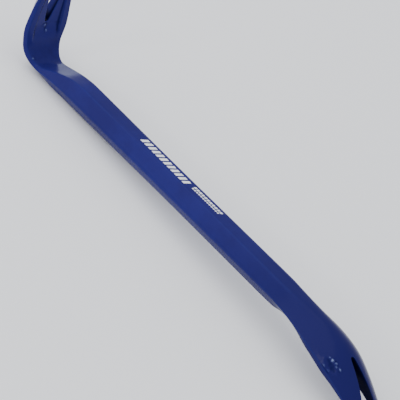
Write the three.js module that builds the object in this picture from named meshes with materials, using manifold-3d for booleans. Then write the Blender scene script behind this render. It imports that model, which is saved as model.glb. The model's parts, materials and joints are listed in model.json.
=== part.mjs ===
// Double-ended nail puller and pry bar, drop forged in one piece from hexagonal bar.
// Millimetres. The bar is drawn with its straight shank along X and the hooked claw
// turning up at the -X end, then stood on its heel and its front claw tips.
import * as THREE from "three";
import { mergeVertices } from "three/addons/utils/BufferGeometryUtils.js";
import Module from "manifold-3d";

const wasm = await Module();
wasm.setup();

// ---- driving dimensions ---------------------------------------------------------
const ACROSS_FLATS = 15.9;              // 5/8 in hexagonal bar
const APOTHEM = ACROSS_FLATS / 2;
const SIDE = ACROSS_FLATS / Math.sqrt(3);
const HOOK_START = -88;                 // where the shank begins to change at each end
const FRONT_START = 78;
const RING_STEP = 2;                    // distance between neighbouring cross-sections

const HEX = { face: APOTHEM, back: APOTHEM, wide: SIDE, faceHalf: SIDE / 2, backHalf: SIDE / 2, level: 0 };

// Cross-sections of a claw. "at" is the distance along the claw from the end of the
// hexagon. "face" is the inner, nail side and "back" the outer side, both measured from
// the line that the claw follows. "wide" is the half width at the widest level.
const HOOK = {
  start: HOOK_START, towards: -1, turns: 1, length: 86,
  bends: [
    { from: 32.6, to: 47.2, deg: 83.4 },  // the tight heel bend
    { from: 47.2, to: 58, deg: 3.8 },
    { from: 58, to: 86, deg: 5.8 },
  ],
  sections: [
    { at: 0, ...HEX },
    { at: 12, face: 6.5, back: 7.9, wide: 9.2, faceHalf: 4.9, backHalf: 4.5, level: -0.3 },
    { at: 22, face: 3.5, back: 7.6, wide: 9.0, faceHalf: 5.9, backHalf: 5.2, level: -1.0 },
    { at: 34, face: 0, back: 6.9, wide: 9.7, faceHalf: 8.3, backHalf: 4.7, level: -2.2 },
    { at: 44, face: 0, back: 7.1, wide: 12.7, faceHalf: 11.6, backHalf: 6.0, level: -2.6 },
    { at: 56, face: 0, back: 7.4, wide: 14.7, faceHalf: 13.7, backHalf: 7.0, level: -2.5 },
    { at: 70, face: 0, back: 7.0, wide: 13.2, faceHalf: 12.1, backHalf: 7.5, level: -1.8 },
    { at: 86, face: 0, back: 1.2, wide: 10.5, faceHalf: 10.1, backHalf: 8.0, level: -0.4 },
  ],
  slot: { root: 58, rootRadius: 1.4, spread: 0.17 },
  dish: { from: 47, full: 57, half: 9.4, wall: 1.3, foot: 1.5, depth: 2.3 },
};

const FRONT = {
  start: FRONT_START, towards: 1, turns: -1, length: 94,
  bends: [
    { from: 8, to: 30, deg: 2.8 },
    { from: 30, to: 60, deg: 24 },        // the claw dips to reach under a nail head
    { from: 60, to: 94, deg: 7.8 },
  ],
  sections: [
    { at: 0, ...HEX },
    { at: 10, face: 5.4, back: 7.7, wide: 9.6, faceHalf: 5.2, backHalf: 4.3, level: 0.6 },
    { at: 24, face: 3.8, back: 7.8, wide: 11.3, faceHalf: 8.9, backHalf: 4.1, level: 0.8 },
    { at: 38, face: 3.8, back: 8.0, wide: 13.2, faceHalf: 12.7, backHalf: 3.2, level: 0.7 },
    { at: 50, face: 3.8, back: 8.4, wide: 13.7, faceHalf: 13.3, backHalf: 2.6, level: 0.4 },
    { at: 66, face: 2.1, back: 7.5, wide: 12.2, faceHalf: 11.8, backHalf: 2.6, level: -0.3 },
    { at: 80, face: 0.5, back: 5.0, wide: 10.7, faceHalf: 10.4, backHalf: 2.6, level: -0.5 },
    { at: 94, face: 0.1, back: 1.1, wide: 10.2, faceHalf: 10.0, backHalf: 2.4, level: -0.4 },
  ],
  slot: { root: 54, rootRadius: 1.3, spread: 0.125 },
  dish: { from: 45, full: 56, half: 8.3, wall: 1.0, foot: 0.8, depth: 1.6 },
};

// Printed marks: a band of slanted bars and two rows of short dashes, one ink film each.
const INK = { thickness: 0.15, gap: 0.3 };
const BAND = {
  from: -41.7, to: -2, y: 0.3, height: 4.2, count: 12, fill: 0.66, slant: 1.5, rail: 0.3, rails: [-1.95, 1.95],
};
const UPPER_DASHES = {
  from: 1, to: 24.5, y: 1.4, height: 1.3, count: 11, fill: 0.7, slant: 0.4, rail: 0.3, rails: [0],
};
const LOWER_DASHES = {
  from: 1.2, to: 23.6, y: -0.35, height: 0.9, count: 13, fill: 0.62, slant: 0.3, rail: 0.3, rails: [0],
};

// ---- smooth interpolation between cross-sections --------------------------------
function slopesThrough(xs, ys) {
  const n = xs.length;
  const secants = xs.slice(1).map((x, i) => (ys[i + 1] - ys[i]) / (x - xs[i]));
  return xs.map((_, i) => {
    if (i === 0 || i === n - 1) return 0;
    const [a, b] = [secants[i - 1], secants[i]];
    if (a * b <= 0) return 0;
    const [h0, h1] = [xs[i] - xs[i - 1], xs[i + 1] - xs[i]];
    const [w0, w1] = [2 * h1 + h0, h1 + 2 * h0];
    return (w0 + w1) / (w0 / a + w1 / b);
  });
}

function smoothCurve(xs, ys) {
  const slopes = slopesThrough(xs, ys);
  return (x) => {
    let i = xs.findIndex((edge) => edge > x) - 1;
    if (i < 0) i = x <= xs[0] ? 0 : xs.length - 2;
    const h = xs[i + 1] - xs[i];
    const t = THREE.MathUtils.clamp((x - xs[i]) / h, 0, 1);
    const [t2, t3] = [t * t, t * t * t];
    return (2 * t3 - 3 * t2 + 1) * ys[i] + (t3 - 2 * t2 + t) * h * slopes[i]
      + (3 * t2 - 2 * t3) * ys[i + 1] + (t3 - t2) * h * slopes[i + 1];
  };
}

function sectionFinder(claw) {
  const ats = claw.sections.map((s) => s.at);
  const names = ["face", "back", "wide", "faceHalf", "backHalf", "level"];
  const curves = names.map((name) => smoothCurve(ats, claw.sections.map((s) => s[name])));
  return (at) => Object.fromEntries(names.map((name, i) => [name, curves[i](at)]));
}

// ---- the line that a claw follows -----------------------------------------------
function turnedBy(claw, at) {
  const share = (b) => THREE.MathUtils.clamp((at - b.from) / (b.to - b.from), 0, 1);
  return claw.bends.reduce((sum, b) => sum + THREE.MathUtils.degToRad(b.deg) * share(b), 0);
}

function stationAt(claw, at) {
  const steps = Math.max(1, Math.round(at / 0.5));
  const ds = at / steps;
  let x = 0;
  let z = 0;
  for (let i = 0; i < steps; i += 1) {
    const angle = turnedBy(claw, (i + 0.5) * ds);
    x += Math.cos(angle) * ds;
    z += Math.sin(angle) * ds;
  }
  const angle = turnedBy(claw, at);
  return {
    point: new THREE.Vector3(claw.start + claw.towards * x, 0, claw.turns * z),
    along: new THREE.Vector3(claw.towards * Math.cos(angle), 0, claw.turns * Math.sin(angle)),
    inward: new THREE.Vector3(-claw.towards * Math.sin(angle), 0, claw.turns * Math.cos(angle)),
  };
}

const placed = (station, y, h) => station.point.clone().addScaledVector(station.inward, h).setY(y);

// ---- solids ---------------------------------------------------------------------
function loft(rings) {
  const n = rings[0].length;
  const positions = rings.flat().flatMap((p) => [p.x, p.y, p.z]);
  const index = [];
  for (let r = 0; r < rings.length - 1; r += 1) {
    for (let i = 0; i < n; i += 1) {
      const j = (i + 1) % n;
      const [a, b, c, d] = [r * n + i, r * n + j, (r + 1) * n + j, (r + 1) * n + i];
      index.push(a, b, c, a, c, d);
    }
  }
  const last = (rings.length - 1) * n;
  for (let i = 1; i < n - 1; i += 1) {
    index.push(0, i + 1, i, last, last + i, last + i + 1);
  }
  const geometry = new THREE.BufferGeometry();
  geometry.setAttribute("position", new THREE.Float32BufferAttribute(positions, 3));
  geometry.setIndex(index);
  return geometry;
}

function toManifold(geometry) {
  const bare = geometry.clone();
  bare.deleteAttribute("normal");
  bare.deleteAttribute("uv");
  const merged = mergeVertices(bare, 1e-5);
  const solid = new wasm.Manifold(new wasm.Mesh({
    numProp: 3,
    vertProperties: new Float32Array(merged.attributes.position.array),
    triVerts: new Uint32Array(merged.index.array),
  }));
  return solid;
}

function toGeometry(solid) {
  const mesh = solid.getMesh();
  const geometry = new THREE.BufferGeometry();
  geometry.setAttribute("position", new THREE.Float32BufferAttribute(mesh.vertProperties, 3));
  geometry.setIndex(new THREE.Uint32BufferAttribute(mesh.triVerts, 1));
  geometry.computeVertexNormals();
  return geometry;
}

// How far the front claw's back has lost its flats and become a dome, from 0 to 1.
const eased = (share) => THREE.MathUtils.smoothstep(share, 0, 1);
const meltedAt = (claw, at) => (claw.towards > 0 ? eased((at - 6) / 36) : 0);

// Half a section: the face's edge, the widest corner and the back's edge, with a few points on
// the two sides between them, so that the side next to the back can bow outwards.
function halfSection(claw, s, at) {
  const [faceEdge, widest, backEdge] = [[s.faceHalf, s.face], [s.wide, s.level], [s.backHalf, -s.back]];
  const between = (a, b) => [1, 2].map((i) => a.map((v, k) => v + (b[k] - v) * i / 3));
  const dome = ([y, h]) => {
    const round = -s.back + (s.level + s.back) * (y / s.wide) ** 2;
    return [y, h + (round - h) * meltedAt(claw, at)];
  };
  return [faceEdge, ...between(faceEdge, widest), widest, ...between(widest, backEdge).map(dome), dome(backEdge)];
}

// A ring from the -Y edge of the face round the back to its +Y edge.
function clawRing(claw, find, at) {
  const station = stationAt(claw, at);
  const half = halfSection(claw, find(at), at);
  const far = half.map(([y, h]) => [-y, h]).reverse();
  return [...half, ...far].map(([y, h]) => placed(station, -y, h));
}

function barSolid() {
  const rings = [];
  const hook = sectionFinder(HOOK);
  const front = sectionFinder(FRONT);
  for (let at = HOOK.length; at >= 0; at -= RING_STEP) rings.push(clawRing(HOOK, hook, at));
  for (let at = 0; at <= FRONT.length; at += RING_STEP) {
    // the front claw's face is underneath, so its ring starts on the other side
    const ring = clawRing(FRONT, front, at);
    const middle = ring.length / 2;
    rings.push([...ring.slice(0, middle).reverse(), ...ring.slice(middle).reverse()]);
  }
  return toManifold(loft(rings));
}

// A V-shaped notch with a round root, pushed right through the claw.
function slotCutter(claw) {
  const { root, rootRadius, spread } = claw.slot;
  const reach = claw.length - root + 12;
  const tangent = Math.atan(spread);
  const shape = new THREE.Shape();
  shape.absarc(rootRadius, 0, rootRadius, Math.PI / 2 + tangent, -Math.PI / 2 - tangent + 2 * Math.PI, false);
  shape.lineTo(reach, -(rootRadius + reach * spread));
  shape.lineTo(reach, rootRadius + reach * spread);
  shape.closePath();
  const through = 60;
  const cutter = new THREE.ExtrudeGeometry(shape, { depth: through, bevelEnabled: false, curveSegments: 10 });
  cutter.translate(0, 0, -through / 2);
  const seat = stationAt(claw, root);
  const direction = stationAt(claw, claw.length).point.clone().sub(seat.point).normalize();
  const across = new THREE.Vector3(0, 1, 0);
  const normal = direction.clone().cross(across);
  const basis = new THREE.Matrix4().makeBasis(direction, across, normal).setPosition(seat.point);
  cutter.applyMatrix4(basis);
  return toManifold(cutter);
}

// The sunk valley round the slot: a short steep wall down from the raised edge, then a
// shallow V, so that a nail head can drop in.
function dishCutter(claw) {
  const { from, full, half, wall, foot, depth } = claw.dish;
  const find = sectionFinder(claw);
  const above = 1.2;
  const rings = [];
  for (let at = from + RING_STEP / 2; at <= claw.length + 4; at += RING_STEP) {
    const reach = Math.min(at, claw.length);
    const narrow = THREE.MathUtils.clamp((reach - full) / (claw.length - full), 0, 1);
    const size = eased((at - from) / (full - from)) * (1 - 0.75 * narrow);
    const station = stationAt(claw, at);
    const level = find(reach).face;
    const crease = Math.min(half * (1 - 0.2 * narrow), 0.72 * find(reach).faceHalf);
    const side = [[crease + 0.02, above], [crease, 0], [crease - wall, -foot * size]];
    const profile = [...side.map(([y, h]) => [-y, h]), [0, -depth * size], ...side.reverse()];
    rings.push(profile.map(([y, h]) => placed(station, y, level + h)));
  }
  const flip = claw.towards < 0 ? rings.reverse() : rings;
  return toManifold(loft(claw.turns < 0 ? flip.map((r) => r.slice().reverse()) : flip));
}

function forgedBar() {
  let solid = barSolid();
  for (const claw of [HOOK, FRONT]) {
    solid = solid.subtract(dishCutter(claw)).subtract(slotCutter(claw));
  }
  return toGeometry(solid);
}

// ---- printed films --------------------------------------------------------------
function inkPatch(x, width, y, height, slant) {
  const [low, high] = [y - height / 2, y + height / 2];
  const outline = [[x, low], [x + width, low], [x + width + slant, high], [x + slant, high]];
  const shape = new THREE.Shape(outline.map(([px, py]) => new THREE.Vector2(px, py)));
  return toManifold(new THREE.ExtrudeGeometry(shape, { depth: INK.thickness, bevelEnabled: false }));
}

// A row of equal ink patches leaning towards +X, joined into one film by thin rails.
function inkRow(row) {
  const length = row.to - row.from - row.slant;
  const pitch = length / (row.count - 1 + row.fill);
  const rails = row.rails.map((level) => {
    const start = row.from + row.slant * (0.5 + level / row.height);
    return inkPatch(start, length, row.y + level, row.rail, row.slant * row.rail / row.height);
  });
  let film = rails.reduce((sum, rail) => sum.add(rail));
  for (let i = 0; i < row.count; i += 1) {
    film = film.add(inkPatch(row.from + pitch * i, pitch * row.fill, row.y, row.height, row.slant));
  }
  return toGeometry(film);
}

// ---- assembly -------------------------------------------------------------------
const enamel = new THREE.MeshStandardMaterial({ color: 0x263e85, roughness: 0.25, metalness: 0.0 });
const ink = new THREE.MeshStandardMaterial({ color: 0xeef0f4, roughness: 0.5, metalness: 0.0 });

function named(name, geometry, material) {
  const mesh = new THREE.Mesh(geometry, material);
  mesh.name = name;
  return mesh;
}

const barGeometry = forgedBar();

// The bar leans until its heel and its front claw tips are level.
function lowest(positions, angle, wanted) {
  let low = Infinity;
  for (let i = 0; i < positions.count; i += 1) {
    const x = positions.getX(i);
    if (wanted(x)) low = Math.min(low, positions.getZ(i) * Math.cos(angle) + x * Math.sin(angle));
  }
  return low;
}

function restingLean(positions) {
  let [level, steep] = [0, 0.2];
  for (let i = 0; i < 40; i += 1) {
    const middle = (level + steep) / 2;
    const heel = lowest(positions, middle, (x) => x < 0);
    const tips = lowest(positions, middle, (x) => x > 0);
    if (heel > tips) level = middle;
    else steep = middle;
  }
  return level;
}

const lean = restingLean(barGeometry.attributes.position);
const leaning = new THREE.Group();
leaning.rotation.y = -lean;
leaning.add(named("forged_bar", barGeometry, enamel));

const prints = new THREE.Group();
prints.position.z = APOTHEM + INK.gap;
prints.add(named("printed_band", inkRow(BAND), ink));
prints.add(named("printed_dashes_upper", inkRow(UPPER_DASHES), ink));
prints.add(named("printed_dashes_lower", inkRow(LOWER_DASHES), ink));
leaning.add(prints);

const part = new THREE.Group();
part.add(leaning);
part.updateMatrixWorld(true);
const box = new THREE.Box3().setFromObject(part, true);
leaning.position.set(-(box.min.x + box.max.x) / 2, 0, -box.min.z);

export default part;
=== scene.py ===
# %% [markdown]
# # A forged pry bar
#
# The object is a nail puller forged in one piece from hexagonal bar: a straight six-sided shank, a
# hooked claw at one end and a dipped claw at the other, dipped in glossy blue enamel, with a small
# white print on its top flat. This lesson builds the forging as a subdivision cage that is worked out
# from a few named cross-sections, prints the marks with Geometry Nodes, and mixes the enamel from
# small shader groups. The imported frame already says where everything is, so it is loaded first.

# %% Load the frame
import json
import math

import bmesh
import bpy
import numpy as np
from mathutils import Matrix, Vector


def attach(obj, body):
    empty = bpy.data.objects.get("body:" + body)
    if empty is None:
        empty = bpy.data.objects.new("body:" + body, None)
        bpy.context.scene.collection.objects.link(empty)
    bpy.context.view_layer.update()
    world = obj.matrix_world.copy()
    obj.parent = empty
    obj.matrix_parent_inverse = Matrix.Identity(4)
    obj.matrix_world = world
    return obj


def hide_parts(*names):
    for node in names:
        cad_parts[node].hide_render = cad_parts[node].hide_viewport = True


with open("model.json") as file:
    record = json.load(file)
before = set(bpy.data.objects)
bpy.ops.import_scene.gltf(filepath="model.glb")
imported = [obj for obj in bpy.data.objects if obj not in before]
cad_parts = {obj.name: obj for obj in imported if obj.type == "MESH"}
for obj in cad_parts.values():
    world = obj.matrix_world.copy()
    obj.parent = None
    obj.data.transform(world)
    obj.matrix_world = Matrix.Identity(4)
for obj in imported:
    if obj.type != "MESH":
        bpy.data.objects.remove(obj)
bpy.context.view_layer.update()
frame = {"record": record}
MM = 0.001

# %% [markdown]
# The bar stands on its heel and its front claw tips, so its shank leans a little. It is far easier to
# draw a bar whose shank runs straight along X, so everything here is drawn in that bar frame, and one
# matrix leans it into place. The record's only mount lies on the underside of the shank, halfway
# along, so its point and its normal give that matrix.

# %% Bar frame
ACROSS_FLATS = 15.9 * MM
APOTHEM = ACROSS_FLATS / 2

rest_mount = frame["record"]["mounts"][0]
lean = math.atan2(rest_mount["axis"][0], -rest_mount["axis"][2])
bar_to_row = (
    Matrix.Translation(rest_mount["pos_m"])
    @ Matrix.Rotation(-lean, 4, "Y")
    @ Matrix.Translation((0, 0, APOTHEM))
)
print("shank leans", round(math.degrees(lean), 2), "degrees")

# %% [markdown]
# The camera comes next, because every later choice is judged through it. It looks down on the bar
# from the front claw's side, a quarter turned, and is rolled so that the bar runs steeply down the
# frame with both claw tips just outside it. A long lens far away keeps the shank's sides nearly
# parallel, as in a catalogue picture.

# %% Camera
VIEW_AZIMUTH = math.radians(38.2)
VIEW_ELEVATION = math.radians(34.4)
VIEW_ROLL = math.radians(20.5)
VIEW_DISTANCE = 1.706
LENS_MM = 293.3
AIM_RIGHT = 6.8 * MM
AIM_UP = -0.9 * MM

towards_camera = Vector((
    math.sin(VIEW_AZIMUTH) * math.cos(VIEW_ELEVATION),
    -math.cos(VIEW_AZIMUTH) * math.cos(VIEW_ELEVATION),
    math.sin(VIEW_ELEVATION),
))
level_right = Vector((math.cos(VIEW_AZIMUTH), math.sin(VIEW_AZIMUTH), 0))
level_up = towards_camera.cross(level_right)
view_right = level_right * math.cos(VIEW_ROLL) + level_up * math.sin(VIEW_ROLL)
view_up = level_up * math.cos(VIEW_ROLL) - level_right * math.sin(VIEW_ROLL)
aim = view_right * AIM_RIGHT + view_up * AIM_UP

camera_data = bpy.data.cameras.new("catalogue_lens")
camera_data.lens = LENS_MM
camera_data.sensor_width = 36
camera_data.clip_end = 50
camera = bpy.data.objects.new("catalogue_camera", camera_data)
bpy.context.scene.collection.objects.link(camera)
turn = Matrix((view_right, view_up, towards_camera)).transposed().to_4x4()
camera.matrix_world = bar_to_row @ Matrix.Translation(aim + towards_camera * VIEW_DISTANCE) @ turn
bpy.context.scene.camera = camera
print("camera at", [round(v, 3) for v in camera.matrix_world.translation])

# %% [markdown]
# ## The forging
#
# A smith starts from hexagonal bar, draws each end out into a flat blade between dies, bends it, and
# splits it for nails. The same few cross-sections describe that: at a distance along the claw, how
# far the nail side ("face") and the outer side ("back") stand from the claw's line, and how wide each
# corner is. A monotone curve through the sections keeps the steel from bulging between them. The slot
# and the dish are described beside them. "pooled" says how far along the claw the slot's walls are
# painted dark as shade: next to the back, halfway through the steel, and next to the face.

# %% Cross-sections of both claws
HEX = {"face": 7.95, "back": 7.95, "wide": 9.18, "face_half": 4.59, "back_half": 4.59, "level": 0}

HOOK = {
    "start": -88, "towards": -1, "turns": 1, "length": 86,
    "bends": [(32.6, 47.2, 83.4), (47.2, 58, 3.8), (58, 86, 5.8)],
    "sections": [
        {"at": 0, **HEX},
        {"at": 12, "face": 6.5, "back": 7.9, "wide": 9.2, "face_half": 4.9, "back_half": 4.5, "level": -0.3},
        {"at": 22, "face": 3.5, "back": 7.6, "wide": 9.0, "face_half": 5.9, "back_half": 5.2, "level": -1},
        {"at": 34, "face": 0, "back": 6.9, "wide": 9.7, "face_half": 8.3, "back_half": 4.7, "level": -2.2},
        {"at": 44, "face": 0, "back": 7.1, "wide": 12.7, "face_half": 11.6, "back_half": 6, "level": -2.6},
        {"at": 56, "face": 0, "back": 7.4, "wide": 14.7, "face_half": 13.7, "back_half": 7, "level": -2.5},
        {"at": 70, "face": 0, "back": 7, "wide": 13.2, "face_half": 12.1, "back_half": 7.5, "level": -1.8},
        {"at": 86, "face": 0, "back": 1.2, "wide": 10.5, "face_half": 10.1, "back_half": 8, "level": -0.4},
    ],
    "slot": {"root": 58, "radius": 1.4, "spread": 0.17, "shaded_to": (60, 60, 72)},
    "dish": {"start": 47, "full": 57, "half": 9.4, "wall": 1.3, "foot": 1.5, "depth": 2.3},
}

FRONT = {
    "start": 78, "towards": 1, "turns": -1, "length": 94,
    "bends": [(8, 30, 2.8), (30, 60, 24), (60, 94, 7.8)],
    "sections": [
        {"at": 0, **HEX},
        {"at": 10, "face": 5.4, "back": 7.7, "wide": 9.6, "face_half": 5.2, "back_half": 4.3, "level": 0.6},
        {"at": 24, "face": 3.8, "back": 7.8, "wide": 11.3, "face_half": 8.9, "back_half": 4.1, "level": 0.8},
        {"at": 38, "face": 3.8, "back": 8, "wide": 13.2, "face_half": 12.7, "back_half": 3.2, "level": 0.7},
        {"at": 50, "face": 3.8, "back": 8.4, "wide": 13.7, "face_half": 13.3, "back_half": 2.6, "level": 0.4},
        {"at": 66, "face": 2.1, "back": 7.5, "wide": 12.2, "face_half": 11.8, "back_half": 2.6, "level": -0.3},
        {"at": 80, "face": 0.5, "back": 5, "wide": 10.7, "face_half": 10.4, "back_half": 2.6, "level": -0.5},
        {"at": 94, "face": 0.1, "back": 1.1, "wide": 10.2, "face_half": 10, "back_half": 2.4, "level": -0.4},
    ],
    "slot": {"root": 54, "radius": 1.3, "spread": 0.125, "shaded_to": (90, 90, 90)},
    "dish": {"start": 45, "full": 56, "half": 8.3, "wall": 1.0, "foot": 0.8, "depth": 1.6},
}


def slopes_through(xs, ys):
    secants = np.diff(ys) / np.diff(xs)
    slopes = [0.0]
    for i in range(1, len(xs) - 1):
        before, after = secants[i - 1], secants[i]
        if before * after <= 0:
            slopes.append(0.0)
            continue
        h0, h1 = xs[i] - xs[i - 1], xs[i + 1] - xs[i]
        w0, w1 = 2 * h1 + h0, h1 + 2 * h0
        slopes.append((w0 + w1) / (w0 / before + w1 / after))
    return slopes + [0.0]


def smooth_value(xs, ys, x):
    slopes = slopes_through(xs, ys)
    i = min(max(int(np.searchsorted(xs, x, side="right")) - 1, 0), len(xs) - 2)
    h = xs[i + 1] - xs[i]
    t = min(max((x - xs[i]) / h, 0), 1)
    start = (2 * t**3 - 3 * t**2 + 1) * ys[i] + (t**3 - 2 * t**2 + t) * h * slopes[i]
    return start + (3 * t**2 - 2 * t**3) * ys[i + 1] + (t**3 - t**2) * h * slopes[i + 1]


def section(claw, at):
    xs = [s["at"] for s in claw["sections"]]
    return {name: smooth_value(xs, [s[name] for s in claw["sections"]], at) for name in HEX}


print("hook is", HOOK["length"], "mm long, front claw", FRONT["length"], "mm, along their own curves")

# %% [markdown]
# Each claw follows a line that starts straight and turns through a few bends. Walking along it in
# small steps gives a point, and the direction square to it that looks at the nail side.

# %% The line that a claw follows


def turned_by(claw, at):
    return sum(math.radians(deg) * min(max((at - a) / (b - a), 0), 1) for a, b, deg in claw["bends"])


def station(claw, at):
    steps = max(1, round(at / 0.5))
    middles = (np.arange(steps) + 0.5) * at / steps
    angles = np.array([turned_by(claw, m) for m in middles])
    x, z = np.cos(angles).sum() * at / steps, np.sin(angles).sum() * at / steps
    angle = turned_by(claw, at)
    point = Vector((claw["start"] + claw["towards"] * x, 0, claw["turns"] * z))
    inward = Vector((-claw["towards"] * math.sin(angle), 0, claw["turns"] * math.cos(angle)))
    return point, inward


for claw_name, claw in (("hook", HOOK), ("front claw", FRONT)):
    tip, _ = station(claw, claw["length"])
    print(claw_name, "turns", round(math.degrees(turned_by(claw, claw["length"]))), "degrees, tip", tip)

# %% [markdown]
# Two things are cut into each blade. The slot is a V with a round root, which grips a nail under its
# head. The dish is a sunk valley round it, so that the head has somewhere to lie: a short steep wall
# drops from a crease along each side, and a shallow V runs from the feet of the walls to the middle.
# Both could be cut with booleans, but worked out as numbers they can be woven into the skin itself.

# %% Slots and dishes
DISH_FADE = 0.75                        # how much of its depth a dish has lost at the tips, as a share
DISH_NARROWING = 0.2                    # and how much of its width
DISH_ROOM = 0.72                        # how much of the face it may take up at most


def slot_half(claw, at):
    slot = claw["slot"]
    past = at - slot["root"]
    if past <= 0:
        return 0.0
    radius = slot["radius"]
    return math.sqrt(radius**2 - max(0, radius - past) ** 2) + slot["spread"] * max(0, past - radius)


def eased(share):
    share = min(max(share, 0), 1)
    return share * share * (3 - 2 * share)


def dish_shape(claw, at, face_half):
    """The dish here: how deep it is, as a share, and where its crease and the foot of its wall lie."""
    dish = claw["dish"]
    narrow = min(max((at - dish["full"]) / (claw["length"] - dish["full"]), 0), 1)
    size = eased((at - dish["start"]) / (dish["full"] - dish["start"])) * (1 - DISH_FADE * narrow)
    crease = min(dish["half"] * (1 - DISH_NARROWING * narrow), DISH_ROOM * face_half)
    return size, crease, crease - dish["wall"]


def face_height(claw, at, y):
    """How far the nail side stands from the claw's line, y to the side, with the dish taken out."""
    s = section(claw, at)
    size, crease, foot = dish_shape(claw, at, s["face_half"])
    dish = claw["dish"]
    if y > crease:
        return s["face"]
    if y > foot:
        return s["face"] - size * dish["foot"] * (crease - y) / dish["wall"]
    return s["face"] - size * (dish["depth"] - (dish["depth"] - dish["foot"]) * y / foot)


print("hook slot is", round(2 * slot_half(HOOK, HOOK["length"]), 1), "mm wide at the tips, its dish",
      round(-face_height(HOOK, HOOK["dish"]["full"], 0), 1), "mm deep at most")

# %% [markdown]
# Half a cross-section runs from the middle of the face, round the two edges, to the middle of the
# back. Rolled bar has small even arrises, but a forging's edges are as soft as its dies were cut, so
# every corner is a short arc of five points that reaches as far along its two sides as it is soft.
# The front claw's back is the softest part: its two arrises melt into one dome. Past the slot's root
# the half section starts at the slot's edge and not at the middle.

# %% Half cross-sections with soft corners
EDGE_REACH = 0.75                       # how far the rounding of a blade's edge reaches
ARRIS_REACH = 1.25                      # the same for the hexagon's arrises
MELTED_REACH = 4.2                      # and for the front claw's back
MELT_FROM, MELT_OVER = 6, 36            # where along the claw its back melts into a dome
CRISP_FROM, CRISP_OVER = 70, 24         # where its rounding gets smaller again, towards the tips
CRISP_SHARE = 0.6                       # and by how much
SLOPE_POINTS = 5
SLOT_LAND = 1.6                         # the back's flat never gets narrower than this beside the slot


def soft_corner(before, corner, after, reach):
    """Five points of an arc that touches both sides of a corner, at most 45% of a side away from it."""
    ends = []
    for side in (before, after):
        length = math.dist(corner, side)
        share = min(reach, 0.45 * length) / length
        ends.append([c + (s - c) * share for c, s in zip(corner, side)])
    arc = []
    for t in (0, 0.25, 0.5, 0.75, 1):
        arc.append(tuple((1 - t) ** 2 * a + 2 * t * (1 - t) * c + t * t * b
                         for a, c, b in zip(ends[0], corner, ends[1])))
    return arc


def domed(s, y):
    """The rounded back of a forging that has no flats left."""
    return -s["back"] + (s["level"] + s["back"]) * (y / s["wide"]) ** 2


def between(a, b, count):
    """Points that divide the gap from a to b evenly, without a and b."""
    shares = np.linspace(0, 1, count + 2)[1:-1]
    return [(a[0] + (b[0] - a[0]) * share, a[1] + (b[1] - a[1]) * share) for share in shares]


def half_section(claw, at):
    s = section(claw, at)
    edge = slot_half(claw, at)
    _, crease, foot = dish_shape(claw, at, s["face_half"])
    room = foot - edge
    valley_ys = [edge, edge + 0.12 * room, edge + 0.45 * room, edge + 0.8 * room, foot - 0.05 * room,
                 foot + 0.2, crease - 0.2, crease, crease + 0.3]
    valley = [(y, face_height(claw, at, y)) for y in valley_ys]

    corner_y = max(s["back_half"], edge + SLOT_LAND)
    rise = (corner_y - s["back_half"]) / (s["wide"] - s["back_half"])
    corner = (corner_y, -s["back"] + rise * (s["level"] + s["back"]))
    face_edge, widest, back_middle = (s["face_half"], s["face"]), (s["wide"], s["level"]), (edge, corner[1])
    melted = eased((at - MELT_FROM) / MELT_OVER) if claw["towards"] > 0 else 0
    crisp = CRISP_SHARE * eased((at - CRISP_FROM) / CRISP_OVER)
    reach = ARRIS_REACH + (MELTED_REACH - ARRIS_REACH) * melted * (1 - crisp)
    first = soft_corner(valley[-1], face_edge, widest, EDGE_REACH)
    shoulder = EDGE_REACH + (ARRIS_REACH - EDGE_REACH) * (1 - eased(at / 20))
    second = soft_corner(face_edge, widest, corner, shoulder)
    third = soft_corner(widest, corner, back_middle, reach)
    slope = between(second[-1], third[0], SLOPE_POINTS)
    landing = between(third[-1], back_middle, 2)
    hold = between(landing[-1], back_middle, 1)
    blade = [*valley, *first, *between(first[-1], second[0], 1), *second]
    spine = [*slope, *third, *landing, *hold, back_middle]
    return blade + [(y, h + (domed(s, y) - h) * melted) for y, h in spine]


COLUMNS = len(half_section(HOOK, 0))
print(COLUMNS, "points from the middle of the face to the middle of the back")

# %% [markdown]
# The cage needs a ring of points wherever its shape changes: many in the bends and round the slot's
# root, few along the plain parts. Subdivision multiplies every ring by four, so none is spent idly.

# %% Where the rings lie
SHANK_STEPS = 4


def ring_places(claw):
    """Rings are close together in the bends, round the slot's root and where the forging is worked most."""
    root, radius, length = claw["slot"]["root"], claw["slot"]["radius"], claw["length"]
    fine_from = 30 if claw["towards"] < 0 else 44
    coarse = np.linspace(0, fine_from, round(fine_from / 3.8) + 1)
    fine = np.arange(fine_from + 1.5, root - 1.9, 1.6 if claw["towards"] < 0 else 1.3)
    arc = [root - 1.2, root - 0.5, root, root + 0.45 * radius, root + 1.5 * radius]
    step = 3.0 if claw["towards"] < 0 else 2.0
    after = np.arange(arc[-1] + 1.4, length - 2.5, step)
    return [*coarse, *fine, *arc, *after, length - 0.8, length - 0.25, length]


print(len(ring_places(HOOK)), "rings in the hook and", len(ring_places(FRONT)), "in the front claw")

# %% [markdown]
# The cage is one closed skin. Up to the slot's root each ring goes all the way round. At the root the
# ring gets a line of points through the steel, and past it each prong is a closed loop of its own, so
# the slot's walls are part of the skin and no boolean cut is needed. The two tips are closed last.
# The walls also carry a note, from 0 to 1, of where they are painted almost black as shade: near the
# root of the hook's slot, farther along where its walls meet the nail side, and nearly all along the
# front claw's slot.

# %% Weave the cage


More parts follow.
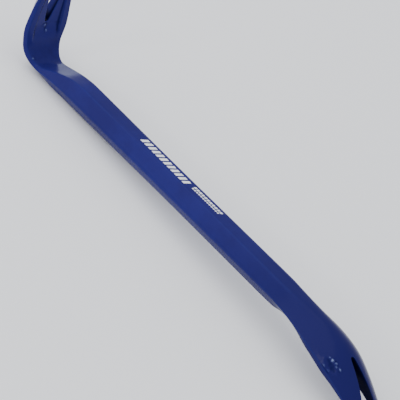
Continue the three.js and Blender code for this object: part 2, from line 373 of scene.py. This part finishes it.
class Cage:
    def __init__(self):
        self.mesh = bmesh.new()
        # painted shade: how dark each point of a slot's wall is painted, from 0 to 1
        self.slot_shade = self.mesh.verts.layers.float.new("slot_shade")

    def point(self, place):
        return self.mesh.verts.new(bar_to_row @ (place * MM))

    def placed(self, claw, at, y, h):
        point, inward = station(claw, at)
        return self.point(Vector((point.x, y, point.z)) + inward * h)

    def quad(self, *corners):
        self.mesh.faces.new(corners)

    def skin(self, ring, following):
        for i in range(len(ring) - 1):
            self.quad(ring[i], ring[i + 1], following[i + 1], following[i])

    def claw(self, claw):
        """Adds one claw's skin and returns its first ring's halves, for the shank to join."""
        root = claw["slot"]["root"]
        first = None
        previous = None
        for at in ring_places(claw):
            halves = []
            middle = {}
            for side in (1, -1):
                half = []
                for column, (y, h) in enumerate(half_section(claw, at)):
                    on_middle = at <= root and column in (0, COLUMNS - 1)
                    if on_middle and column in middle:
                        half.append(middle[column])
                        continue
                    vert = self.placed(claw, at, side * y, h)
                    half.append(vert)
                    if on_middle:
                        middle[column] = vert
                halves.append(half)
            walls = self.walls(claw, at, halves) if at >= root else None
            if previous:
                for side in (0, 1):
                    self.skin(previous[0][side], halves[side])
                    if previous[1]:
                        self.skin(previous[1][side], walls[side])
            previous = (halves, walls)
            first = first or halves
        for half, wall in zip(*previous):
            self.close_tip(half, wall)
        return first

    def walls(self, claw, at, halves):
        """Each wall runs through the steel, from the back's edge of the slot to the face's."""
        walls = []
        shared = None
        for half in halves:
            back, face = half[-1].co, half[0].co
            if shared and at <= claw["slot"]["root"]:
                walls.append([half[-1], *shared, half[0]])
                continue
            hold = min(0.7 * MM, (face - back).length / 4) / (face - back).length
            inner = [self.mesh.verts.new(back.lerp(face, t)) for t in (hold, 0.5, 1 - hold)]
            # the slot's walls are painted dark as shade up to these places along the claw
            for vert, shade_ends in zip(inner, claw["slot"]["shaded_to"]):
                vert[self.slot_shade] = 1 - eased((at - shade_ends) / 5)
            shared = inner
            walls.append([half[-1], *inner, half[0]])
        return walls

    def close_tip(self, half, wall):
        last = len(half) - 1
        self.quad(half[0], half[1], half[last - 1], *wall[:-1])
        for i in range(1, last // 2):
            self.quad(half[i], half[i + 1], half[last - 1 - i], half[last - i])

    def shank(self, hook_ring, front_ring):
        """The front claw's face is underneath, so its half rings are met from the other end."""
        rows = [hook_ring]
        for step in range(1, SHANK_STEPS):
            share = step / SHANK_STEPS
            made = {}
            row = []
            for side in (0, 1):
                half = []
                for column in range(COLUMNS):
                    if side and column in (0, COLUMNS - 1):
                        half.append(made[column])
                        continue
                    a = hook_ring[side][column].co
                    b = front_ring[side][COLUMNS - 1 - column].co
                    made[column] = self.mesh.verts.new(a.lerp(b, share))
                    half.append(made[column])
                row.append(half)
            rows.append(row)
        rows.append([half[::-1] for half in front_ring])
        for row, following in zip(rows, rows[1:]):
            for side in (0, 1):
                self.skin(row[side], following[side])


cage = Cage()
cage.shank(cage.claw(HOOK), cage.claw(FRONT))
bmesh.ops.recalc_face_normals(cage.mesh, faces=cage.mesh.faces[:])
open_edges = sum(1 for e in cage.mesh.edges if not e.is_manifold)
print("cage:", len(cage.mesh.verts), "points,", len(cage.mesh.faces), "faces,", open_edges, "open edges")

# %% [markdown]
# Two levels of Catmull-Clark subdivision turn the cage into steel with soft arrises. The modifier is
# evaluated once and its result kept as a plain mesh, which is what the frame wants for a finished piece.

# %% Subdivide
LEVELS = 2


def link(name, data):
    piece = bpy.data.objects.new(name, data)
    bpy.context.scene.collection.objects.link(piece)
    return piece


def applied(piece):
    """Swaps a piece's mesh for what its modifiers make of it."""
    evaluated = piece.evaluated_get(bpy.context.evaluated_depsgraph_get())
    mesh = bpy.data.meshes.new_from_object(evaluated)
    piece.modifiers.clear()
    piece.data = mesh
    return piece


forging_mesh = bpy.data.meshes.new("enamelled_forging")
cage.mesh.to_mesh(forging_mesh)
forging = link("enamelled_forging", forging_mesh)
smoothing = forging.modifiers.new("smoothing", "SUBSURF")
smoothing.levels = smoothing.render_levels = LEVELS
smoothing.use_limit_surface = True
applied(forging)
forging.data.shade_smooth()
print("forging:", len(forging.data.polygons), "faces")

# %% [markdown]
# Hammer dies leave a forging slightly uneven, and this one has a struck oval on one flank of the
# front claw: a shallow hollow whose rim was pushed up in uneven crumbs. Small pimples of steel stand
# round the oval, below the hook's slot and in the hook's bend, where the dies met scale. A bump map
# could fake them, but they catch the light and show in the mesh, so all of it is real relief, moved
# along the surface's own normal. A place on the forging is named the way the cage was built: by claw,
# by the distance along it, and by how far it lies to the side. The tops of the pimples are painted pale
# as glints, so their places are kept as an attribute for the enamel.

# %% Die marks
OVAL_AT, OVAL_SIDE = 53.8, -10.9
OVAL_LENGTH, OVAL_WIDTH = 5.4, 2.2      # half sizes
OVAL_DEPTH, RIM_HEIGHT = 0.5, 0.16
WAVE_HEIGHT = 0.08
PLAIN_AT, PLAIN_HALF, PLAIN_FADE = -5, 62, 40   # the stretch of shank that the dies left even
PIMPLES = [                             # claw, along, to the side, radius, height, length over width
    (HOOK, 56.2, -0.6, 0.8, 0.4, 1.0),
    (HOOK, 52.9, 0.5, 0.7, 0.35, 1.3),
    (HOOK, 38.6, -9.0, 0.65, 0.26, 1.2),
    (FRONT, 50.0, -9.5, 0.55, 0.24, 1.0),
    (FRONT, 52.0, -9.3, 0.9, 0.5, 1.3),
    (FRONT, 54.2, -8.7, 0.7, 0.4, 1.2),
    (FRONT, 55.6, -9.2, 0.5, 0.26, 1.6),
    (FRONT, 57.6, -8.3, 0.6, 0.34, 1.9),
    (FRONT, 51.6, -12.8, 0.5, 0.24, 2.6),
    (FRONT, 55.2, -12.3, 0.5, 0.2, 1.8),
]


def surface_place(claw, at, side):
    """A point of the claw's surface in the row frame, its outward direction and its direction along."""
    point, inward = station(claw, at)
    ahead, _ = station(claw, at + 0.5)
    along = (ahead - point).normalized()
    s = section(claw, at)
    if claw["towards"] > 0:
        h = domed(s, side)
        rise = 2 * (s["level"] + s["back"]) * side / s["wide"] ** 2
        outward = Vector((0, rise, 0)) - inward
    else:
        h = face_height(claw, at, abs(side))
        outward = inward
    place = Vector((point.x, side, point.z)) + inward * h
    turn = bar_to_row.to_3x3()
    return bar_to_row @ (place * MM), (turn @ outward).normalized(), (turn @ along).normalized()


def waves(points, size):
    """A slow, even unevenness from a few crossed sines, from -1 to 1."""
    total = np.zeros(len(points))
    for k, (a, b, c, phase) in enumerate([(1, 0.3, 0.2, 0.4), (-0.6, 1.1, 0.5, 1.9), (0.4, -0.8, 1.3, 3.1),
                                          (1.4, 0.9, -0.7, 5.0), (-1.1, -1.3, 0.9, 0.8)]):
        total += np.sin(points @ np.array([a, b, c]) * (1 + 0.23 * k) * 2 * math.pi / size + phase)
    return total / 5


mesh = forging.data
co = np.empty(len(mesh.vertices) * 3)
mesh.vertices.foreach_get("co", co)
co = co.reshape(-1, 3)
normals = np.empty(len(mesh.vertices) * 3)
mesh.vertex_normals.foreach_get("vector", normals)
normals = normals.reshape(-1, 3)

from_row = np.array(bar_to_row.inverted())
along_bar = (co @ from_row[:3, :3].T + from_row[:3, 3])[:, 0] / MM
worked = np.clip((np.abs(along_bar - PLAIN_AT) - PLAIN_HALF) / PLAIN_FADE, 0, 1)
moved = -WAVE_HEIGHT * MM * worked * (0.5 + 0.35 * waves(co, 16 * MM) + 0.15 * waves(co, 6 * MM))

centre, outward, along = surface_place(FRONT, OVAL_AT, OVAL_SIDE)
across = outward.cross(along)
offset = co - np.array(centre)
u = offset @ np.array(along) / (OVAL_LENGTH * MM)
v = offset @ np.array(across) / (OVAL_WIDTH * MM)
near = np.abs(offset @ np.array(outward)) < 4 * MM
radius = np.where(near, np.hypot(u, v), 9)
angle = np.arctan2(v, u)
hollow = np.clip(1 - radius**2, 0, 1) ** 1.5
crumbs = 0.55 + 0.45 * np.sin(6 * angle + 0.7) * np.sin(2.3 * angle + 1.2)
rim = np.exp(-((radius - 1.05) / 0.2) ** 2) * crumbs
moved += MM * (RIM_HEIGHT * rim - OVAL_DEPTH * hollow)

# painted glints: where the pimples' tops are painted pale in the enamel
painted_glint = np.zeros(len(co))
for claw, at, side, size, height, stretch in PIMPLES:
    place, _, along = surface_place(claw, at, side)
    offset = co - np.array(place)
    run = offset @ np.array(along)
    squeezed = offset - np.outer(run * (1 - 1 / stretch), along)
    distance = np.linalg.norm(squeezed, axis=1) / (size * MM)
    moved += height * MM * np.exp(-distance**2)
    painted_glint = np.maximum(painted_glint, min(1, height * 1.6) * np.exp(-(distance / 0.75) ** 4))

co = co + normals * moved[:, None]
mesh.vertices.foreach_set("co", co.ravel())
mesh.update()
mesh.attributes.new("painted_glint", "FLOAT", "POINT").data.foreach_set("value", painted_glint.astype(np.float32))
print("relief from", round(moved.min() / MM, 2), "to", round(moved.max() / MM, 2), "mm")

# %% [markdown]
# The enamel's colour follows the shape: it is painted paler on an arris as a highlight and darker in a
# hollow as shade. The shape is measured once: how far each point stands proud of its neighbours, written
# as a point attribute that the enamel reads. It is above zero on arrises and below zero in creases.

# %% Measure the arrises
edges = np.empty(len(mesh.edges) * 2, int)
mesh.edges.foreach_get("vertices", edges)
edges = edges.reshape(-1, 2)
mesh.vertex_normals.foreach_get("vector", normals.reshape(-1))
span = co[edges[:, 0]] - co[edges[:, 1]]
length = np.maximum(np.linalg.norm(span, axis=1), 1e-6)
proud = np.zeros(len(co))
count = np.zeros(len(co))
for end, sign in ((0, 1), (1, -1)):
    np.add.at(proud, edges[:, end], sign * (span * normals[edges[:, end]]).sum(1) / length**2)
    np.add.at(count, edges[:, end], 1)
proud = proud / count * MM                               # half the curvature, per mm
for _ in range(3):
    total = np.zeros(len(co))
    np.add.at(total, edges[:, 0], proud[edges[:, 1]])
    np.add.at(total, edges[:, 1], proud[edges[:, 0]])
    proud = 0.4 * proud + 0.6 * total / count
attribute = mesh.attributes.new("arris", "FLOAT", "POINT")
attribute.data.foreach_set("value", np.clip(proud * 4, -1, 1).astype(np.float32))
print("share of points on arrises:", round(float((proud * 4 > 0.5).mean()), 3))

# %% [markdown]
# ## Finishes
#
# Three small effects make the finishes, so each is a shader group with named inputs: the fine ripple
# that any sprayed or dipped paint dries with, a slow drift of tone, and a painted highlight over an
# arris with painted shade in a crease. A group only puts out a colour, a mask or a height, and the
# shader itself stays in the material. First come the helpers that every tree below is built with.

# %% Helpers for node trees


def new_group(name, inputs, outputs):
    group = bpy.data.node_groups.new(name, "ShaderNodeTree")
    for direction, sockets in (("INPUT", inputs), ("OUTPUT", outputs)):
        for title, kind, value in sockets:
            socket = group.interface.new_socket(title, in_out=direction, socket_type="NodeSocket" + kind)
            if value is not None:
                socket.default_value = value
    return group, group.nodes.new("NodeGroupInput"), group.nodes.new("NodeGroupOutput")


def node(tree, kind, values=(), links=(), **settings):
    """A node with its settings, its constant inputs, and (output, input name) links."""
    made = tree.nodes.new(kind)
    for key, value in settings.items():
        setattr(made, key, value)
    for key, value in values:
        made.inputs[key].default_value = value
    for source, key in links:
        tree.links.new(source, made.inputs[key])
    return made


def object_noise(tree, scale, detail, roughness=0.5, scale_link=None):
    place = node(tree, "ShaderNodeTexCoord").outputs["Object"]
    noise = node(tree, "ShaderNodeTexNoise", [("Scale", scale), ("Detail", detail), ("Roughness", roughness)],
                 [(place, "Vector")])
    if scale_link:
        tree.links.new(scale_link, noise.inputs["Scale"])
    return noise.outputs["Fac"]


def placed_group(tree, group, **values):
    made = tree.nodes.new("ShaderNodeGroup")
    made.node_tree = group
    for key, value in values.items():
        made.inputs[key.replace("_", " ")].default_value = value
    return made


def mixed_colour(tree, mask, a, b_value):
    """Colour a where the mask is 0 and the fixed colour where it is 1."""
    made = node(tree, "ShaderNodeMix", (), [(mask, "Factor")], data_type="RGBA")
    tree.links.new(a, made.inputs[6])
    made.inputs[7].default_value = b_value
    return made.outputs[2]


print("helpers:", [f.__name__ for f in (new_group, node, object_noise, placed_group, mixed_colour)])

# %% [markdown]
# Paint that dries on its own is never flat: it has the faint ripple called orange peel. A fine noise
# mixed with one about five times as long gives its height, and both follow one scale.

# %% Dried ripple


def dried_ripple():
    """Orange peel: a fine ripple and, under it, a longer one."""
    group, given, result = new_group(
        "dried_ripple",
        [("Scale", "Float", 700.0), ("Long Share", "Float", 0.5)],
        [("Height", "Float", None)])
    fine = object_noise(group, 700, 1.5, scale_link=given.outputs["Scale"])
    slow = node(group, "ShaderNodeMath", [(1, 0.22)], [(given.outputs["Scale"], 0)], operation="MULTIPLY")
    long = object_noise(group, 150, 1.0, scale_link=slow.outputs[0])
    mixed = node(group, "ShaderNodeMix", (), [
        (given.outputs["Long Share"], "Factor"), (fine, "A"), (long, "B")])
    group.links.new(mixed.outputs["Result"], result.inputs["Height"])
    return group


ripple_group = dried_ripple()
print("group:", ripple_group.name)

# %% [markdown]
# No coat has one even colour. Two tones drift into each other over a few centimetres, and a mottle
# nine times as fine breaks the drift up.

# %% Tone drift


def tone_drift():
    group, given, result = new_group(
        "tone_drift",
        [("Tone", "Color", (0.5, 0.5, 0.5, 1)), ("Other Tone", "Color", (0.4, 0.4, 0.4, 1)),
         ("Scale", "Float", 40.0), ("Mottle", "Float", 0.3)],
        [("Color", "Color", None)])
    slow = object_noise(group, 40, 2.0, scale_link=given.outputs["Scale"])
    quick = node(group, "ShaderNodeMath", [(1, 9.0)], [(given.outputs["Scale"], 0)], operation="MULTIPLY")
    fine = object_noise(group, 300, 3.0, scale_link=quick.outputs[0])
    blend = node(group, "ShaderNodeMix", (), [(given.outputs["Mottle"], "Factor"), (slow, "A"), (fine, "B")])
    share = node(group, "ShaderNodeMapRange", [("From Min", 0.35), ("From Max", 0.65)],
                 [(blend.outputs["Result"], "Value")], interpolation_type="SMOOTHSTEP")
    colour = node(group, "ShaderNodeMix", (), [(share.outputs["Result"], "Factor")], data_type="RGBA")
    group.links.new(given.outputs["Tone"], colour.inputs[6])
    group.links.new(given.outputs["Other Tone"], colour.inputs[7])
    group.links.new(colour.outputs[2], result.inputs["Color"])
    return group


drift_group = tone_drift()
print("group:", drift_group.name)

# %% [markdown]
# The measured arris attribute becomes two masks: a painted highlight over an arris and painted shade in
# a crease. A noise moves their borders, so that neither stops along a clean line.

# %% Painted highlight over arrises, painted shade in creases


def arris_highlight_crease_shade():
    group, given, result = new_group(
        "arris_highlight_crease_shade",
        [("Thin Amount", "Float", 1.0), ("Gathered Amount", "Float", 1.0), ("Break Up", "Float", 0.4)],
        [("Thin", "Float", None), ("Gathered", "Float", None)])
    shape = node(group, "ShaderNodeAttribute", attribute_name="arris").outputs["Fac"]
    noise = object_noise(group, 260, 3.0, 0.6)
    centred = node(group, "ShaderNodeMath", [(1, 0.5)], [(noise, 0)], operation="SUBTRACT")
    broken = node(group, "ShaderNodeMath", (), [(centred.outputs[0], 0), (given.outputs["Break Up"], 1)],
                  operation="MULTIPLY")
    # painted highlight where the shape stands proud, painted shade where it sinks
    for name, low, high in (("Thin", 0.15, 0.75), ("Gathered", -0.08, -0.4)):
        uneven = node(group, "ShaderNodeMath", (), [(shape, 0), (broken.outputs[0], 1)], operation="ADD")
        mask = node(group, "ShaderNodeMapRange", [("From Min", low), ("From Max", high)],
                    [(uneven.outputs[0], "Value")], interpolation_type="SMOOTHSTEP")
        amount = given.outputs[name + " Amount"]
        scaled = node(group, "ShaderNodeMath", (), [(mask.outputs["Result"], 0), (amount, 1)],
                      operation="MULTIPLY")
        group.links.new(scaled.outputs[0], result.inputs[name])
    return group


arris_shade_group = arris_highlight_crease_shade()
print("group:", arris_shade_group.name)

# %% [markdown]
# The enamel is a deep glossy blue, a little darker towards the front claw. It drifts slightly in tone,
# is painted a little paler over an arris as a highlight, darker in a crease as shade, and almost black
# on the slots' walls as shade. The tops of the pimples are painted pale, in grains, as glints. A low
# specular level keeps the reflection of the pale surroundings faint, so the blue stays saturated. The
# gloss is still sharp, and the ripple softens its edges.

# %% Blue enamel
BLUE = (0.017, 0.0165, 0.134, 1)
BLUE_DEEP = (0.015, 0.0135, 0.108, 1)
# darker blue towards the front claw
BLUE_FRONT_END = (0.012, 0.0115, 0.088, 1)
# paler blue painted over arrises as a highlight
BLUE_PAINTED_HIGHLIGHT = (0.018, 0.028, 0.170, 1)
# pale blue painted on the pimples' tops as glints
BLUE_PAINTED_GLINT = (0.22, 0.28, 0.48, 1)
# darker blue painted into creases as shade
BLUE_PAINTED_CREASE_SHADE = (0.003, 0.004, 0.050, 1)
# near-black blue painted on the slots' walls as shade
BLUE_SLOT_SHADE = (0.0012, 0.0018, 0.018, 1)

enamel = bpy.data.materials.new("blue_enamel")
enamel.use_nodes = True
tree = enamel.node_tree
shader = tree.nodes["Principled BSDF"]
drift = placed_group(tree, drift_group, Tone=BLUE, Other_Tone=BLUE_DEEP, Scale=32, Mottle=0.25)
arris_light = placed_group(tree, arris_shade_group, Thin_Amount=0.2, Gathered_Amount=0.8, Break_Up=0.35)
ripple = placed_group(tree, ripple_group, Scale=650, Long_Share=0.6)
bar_place = node(tree, "ShaderNodeTexCoord").outputs["Object"]
along_row = node(tree, "ShaderNodeSeparateXYZ", (), [(bar_place, 0)]).outputs["X"]
# the enamel turns darker towards the front claw
towards_front = node(tree, "ShaderNodeMapRange", [("From Min", -0.01), ("From Max", 0.10)], [(along_row, "Value")],
                interpolation_type="SMOOTHSTEP")
colour = mixed_colour(tree, towards_front.outputs["Result"], drift.outputs["Color"], BLUE_FRONT_END)
# paler over arrises: painted highlight
colour = mixed_colour(tree, arris_light.outputs["Thin"], colour, BLUE_PAINTED_HIGHLIGHT)
# darker in creases: painted shade
colour = mixed_colour(tree, arris_light.outputs["Gathered"], colour, BLUE_PAINTED_CREASE_SHADE)
# almost black on the slots' walls: painted shade
slot_shade_mask = node(tree, "ShaderNodeAttribute", attribute_name="slot_shade").outputs["Fac"]
colour = mixed_colour(tree, slot_shade_mask, colour, BLUE_SLOT_SHADE)
# pale grains on the pimples' tops: painted glints
tops = node(tree, "ShaderNodeAttribute", attribute_name="painted_glint").outputs["Fac"]
grain = node(tree, "ShaderNodeMapRange", [("From Min", 0.38), ("From Max", 0.6)],
             [(object_noise(tree, 1500, 2), "Value")])
glint_mask = node(tree, "ShaderNodeMath", (), [(tops, 0), (grain.outputs["Result"], 1)], operation="MULTIPLY")
colour = mixed_colour(tree, glint_mask.outputs[0], colour, BLUE_PAINTED_GLINT)
tree.links.new(colour, shader.inputs["Base Color"])
haze = node(tree, "ShaderNodeMapRange", [("To Min", 0.15), ("To Max", 0.26)],
            [(object_noise(tree, 90, 3), "Value")])
tree.links.new(haze.outputs["Result"], shader.inputs["Roughness"])
bump = node(tree, "ShaderNodeBump", [("Strength", 0.35), ("Distance", 0.0001)],
            [(ripple.outputs["Height"], "Height")])
tree.links.new(bump.outputs["Normal"], shader.inputs["Normal"])
shader.inputs["Specular IOR Level"].default_value = 0.045
forging.data.materials.clear()
forging.data.materials.append(enamel)
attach(forging, "root")
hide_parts("forged_bar")
print("enamel nodes:", len(enamel.node_tree.nodes))

# %% [markdown]
# ## The print
#
# A pad or a screen lays the white marks on the top flat: a bold band of slanted bars and, beside it,
# two rows of short dashes. The ink is satin and covers well, but it wears a little greyer in spots.

# %% White ink
WHITE = (0.90, 0.90, 0.91, 1)
WHITE_WORN = (0.70, 0.72, 0.78, 1)

ink = bpy.data.materials.new("white_ink")
ink.use_nodes = True
tree = ink.node_tree
shader = tree.nodes["Principled BSDF"]
drift = placed_group(tree, drift_group, Tone=WHITE, Other_Tone=WHITE_WORN, Scale=220, Mottle=0.5)
ripple = placed_group(tree, ripple_group, Scale=2200, Long_Share=0.3)
tree.links.new(drift.outputs["Color"], shader.inputs["Base Color"])
bump = node(tree, "ShaderNodeBump", [("Strength", 0.3), ("Distance", 0.00005)],
            [(ripple.outputs["Height"], "Height")])
tree.links.new(bump.outputs["Normal"], shader.inputs["Normal"])
shader.inputs["Roughness"].default_value = 0.42
print("ink nodes:", len(ink.node_tree.nodes))

# %% [markdown]
# Each row repeats one slanted patch, so one Geometry Nodes tree makes all three rows from their sizes.
# It sets boxes out along a line and realizes them, then shears them, frets their edges by a few
# hundredths of a millimetre as ink does, and gives them the ink. Its noise has no seed to set: it
# depends on the place alone, so every run frets the same edges.

# %% Geometry Nodes tree for one row of marks
INK_FRET = 0.22 * MM                    # the noise moves an edge by a small part of this


def row_tree(finish):
    tree = bpy.data.node_groups.new("ink_row", "GeometryNodeTree")
    sizes = ["Start", "Pitch", "Patch Length", "Patch Height", "Slant", "Film"]
    tree.interface.new_socket("Geometry", in_out="INPUT", socket_type="NodeSocketGeometry")
    tree.interface.new_socket("Count", in_out="INPUT", socket_type="NodeSocketInt")
    for name in sizes:
        tree.interface.new_socket(name, in_out="INPUT", socket_type="NodeSocketFloat")
    tree.interface.new_socket("Geometry", in_out="OUTPUT", socket_type="NodeSocketGeometry")
    given = tree.nodes.new("NodeGroupInput").outputs
    result = tree.nodes.new("NodeGroupOutput")

    def maths(operation, a, b):
        made = node(tree, "ShaderNodeMath", operation=operation)
        for socket, source in zip(made.inputs, (a, b)):
            if isinstance(source, (int, float)):
                socket.default_value = source
            else:
                tree.links.new(source, socket)
        return made.outputs[0]

    start = node(tree, "ShaderNodeCombineXYZ", (), [(given["Start"], "X")])
    pitch = node(tree, "ShaderNodeCombineXYZ", (), [(given["Pitch"], "X")])
    line = node(tree, "GeometryNodeMeshLine", (), [
        (given["Count"], "Count"), (start.outputs[0], "Start Location"), (pitch.outputs[0], "Offset")])
    size = node(tree, "ShaderNodeCombineXYZ", (), [
        (given["Patch Length"], "X"), (given["Patch Height"], "Y"), (given["Film"], "Z")])
    patch = node(tree, "GeometryNodeMeshCube", [("Vertices X", 6), ("Vertices Y", 10)], [
        (size.outputs[0], "Size")])
    rows = node(tree, "GeometryNodeInstanceOnPoints", (), [
        (line.outputs["Mesh"], "Points"), (patch.outputs["Mesh"], "Instance")])
    real = node(tree, "GeometryNodeRealizeInstances", (), [(rows.outputs[0], "Geometry")])

    here = node(tree, "GeometryNodeInputPosition").outputs[0]
    split = node(tree, "ShaderNodeSeparateXYZ", (), [(here, 0)])
    lean_share = maths("DIVIDE", split.outputs["Y"], given["Patch Height"])
    shear = maths("MULTIPLY", lean_share, given["Slant"])
    fret = node(tree, "ShaderNodeTexNoise", [("Scale", 1800.0), ("Detail", 1.0)], [(here, "Vector")])
    fretted = node(tree, "ShaderNodeVectorMath", [(1, (0.5, 0.5, 0.5))], [(fret.outputs["Color"], 0)],
                   operation="SUBTRACT")
    shrunk = node(tree, "ShaderNodeVectorMath", [(1, (INK_FRET, INK_FRET, 0))], [(fretted.outputs[0], 0)],
                  operation="MULTIPLY")
    sheared = node(tree, "ShaderNodeCombineXYZ", (), [(shear, "X")])
    offset = node(tree, "ShaderNodeVectorMath", (), [(shrunk.outputs[0], 0), (sheared.outputs[0], 1)],
                  operation="ADD")
    moved = node(tree, "GeometryNodeSetPosition", (), [
        (real.outputs[0], "Geometry"), (offset.outputs[0], "Offset")])
    inked = node(tree, "GeometryNodeSetMaterial", [("Material", finish)], [(moved.outputs[0], "Geometry")])
    tree.links.new(inked.outputs[0], result.inputs[0])
    return tree


ink_row = row_tree(ink)
print("inputs of one row:", [s.name for s in ink_row.interface.items_tree if s.in_out == "INPUT"])

# %% [markdown]
# A row is described by where it starts and ends along the shank, how far it lies to the side, the
# height and count of its marks, how much of each step a mark fills, how far its top leans over, and
# how many degrees the row is out of line. The film's underside lies just below the flat, so that no
# gap shows under its edges. The modifier is evaluated once and its result kept as a plain mesh.

# %% Lay the three rows on the top flat
INK_FILM = 0.16 * MM
INK_SEAT = 0.2 * INK_FILM               # the film's middle lies this far above the flat
PRINT_ROWS = {
    "printed_band": {"start": -41.7, "end": -2, "side": -0.1, "height": 4.1, "count": 12, "fill": 0.62,
                     "slant": 1.5, "turn": -0.9},
    "printed_dashes_upper": {"start": 1, "end": 24.5, "side": 1.4, "height": 1.3, "count": 11, "fill": 0.7,
                             "slant": 0.4, "turn": 0},
    "printed_dashes_lower": {"start": 1.2, "end": 23.6, "side": -0.35, "height": 0.9, "count": 13,
                             "fill": 0.62, "slant": 0.3, "turn": 0},
}


def ink_piece(name, row):
    length = row["end"] - row["start"] - row["slant"]
    pitch = length / (row["count"] - 1 + row["fill"])
    patch = pitch * row["fill"]
    values = {
        "Count": row["count"],
        "Start": (row["start"] + row["slant"] / 2 + patch / 2) * MM,
        "Pitch": pitch * MM,
        "Patch Length": patch * MM,
        "Patch Height": row["height"] * MM,
        "Slant": row["slant"] * MM,
        "Film": INK_FILM,
    }
    piece = link(name + "_ink", bpy.data.meshes.new(name + "_ink"))
    modifier = piece.modifiers.new("rows", "NODES")
    modifier.node_group = ink_row
    for socket in ink_row.interface.items_tree:
        if socket.in_out == "INPUT" and socket.name in values:
            modifier[socket.identifier] = values[socket.name]
    applied(piece)
    piece.data.materials.clear()        # a cube brings an empty first slot along, so the ink moves there
    piece.data.materials.append(ink)
    piece.data.polygons.foreach_set("material_index", [0] * len(piece.data.polygons))
    middle = (row["start"] + row["end"]) / 2 * MM
    seat = Matrix.Translation((middle, row["side"] * MM, APOTHEM + INK_SEAT))
    turn = Matrix.Rotation(math.radians(row["turn"]), 4, "Z") @ Matrix.Translation((-middle, 0, 0))
    piece.data.transform(bar_to_row @ seat @ turn)
    piece.data.update()
    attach(piece, "root")
    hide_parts(name)
    print(piece.name, len(piece.data.polygons), "faces, material", piece.data.materials[0].name)
    return piece


for row_name, row in PRINT_ROWS.items():
    ink_piece(row_name, row)

# %% [markdown]
# ## The studio
#
# The bar lies on plain pale paper in a room that is evenly pale all round, so every flat is lit about
# alike and no hard shadow falls. A large dim key hangs high over the hook's side, where no flat of the
# bar mirrors it towards the camera, so the blue stays deep. One low, slightly blue panel beyond the
# hook shows as a pale patch on the slope that leads into the bend, and one small lamp low on the near
# side puts glints on the struck oval's rim.

# %% Stage and lights
FLOOR_REACH = 4.0
floor_mesh = bpy.data.meshes.new("floor")
corners = [(x * FLOOR_REACH, y * FLOOR_REACH, 0) for x, y in ((-1, -1), (1, -1), (1, 1), (-1, 1))]
floor_mesh.from_pydata(corners, [], [(0, 1, 2, 3)])
floor = link("floor", floor_mesh)
paper = bpy.data.materials.new("pale_paper")
paper.use_nodes = True
paper.node_tree.nodes["Principled BSDF"].inputs["Base Color"].default_value = (0.92, 0.92, 0.92, 1)
paper.node_tree.nodes["Principled BSDF"].inputs["Roughness"].default_value = 0.9
floor.data.materials.append(paper)

world = bpy.data.worlds.new("studio")
bpy.context.scene.world = world
world.use_nodes = True
world.node_tree.nodes["Background"].inputs["Color"].default_value = (0.9, 0.93, 1, 1)
world.node_tree.nodes["Background"].inputs["Strength"].default_value = 1.05


def softbox(name, direction, distance, size, power, tint=(1, 1, 1)):
    """A rectangular soft light in a direction given in the bar frame, looking at the middle of the bar."""
    data = bpy.data.lights.new(name, "AREA")
    data.shape = "RECTANGLE"
    data.size, data.size_y = size
    data.energy = power
    data.color = tint
    lamp = bpy.data.objects.new(name, data)
    bpy.context.scene.collection.objects.link(lamp)
    lamp.location = bar_to_row.to_3x3() @ Vector(direction).normalized() * distance
    lamp.rotation_euler = (-lamp.location).to_track_quat("-Z", "Y").to_euler()
    return lamp


softbox("key", (-0.62, -0.3, 0.72), 2.4, (3.6, 3.6), 60)
softbox("low_panel", (-0.75, 0.63, 0.14), 1.6, (0.46, 0.24), 1.35, (0.75, 0.86, 1))
softbox("small_lamp", (-0.13, -0.87, 0.47), 1.5, (0.16, 0.16), 2.2)
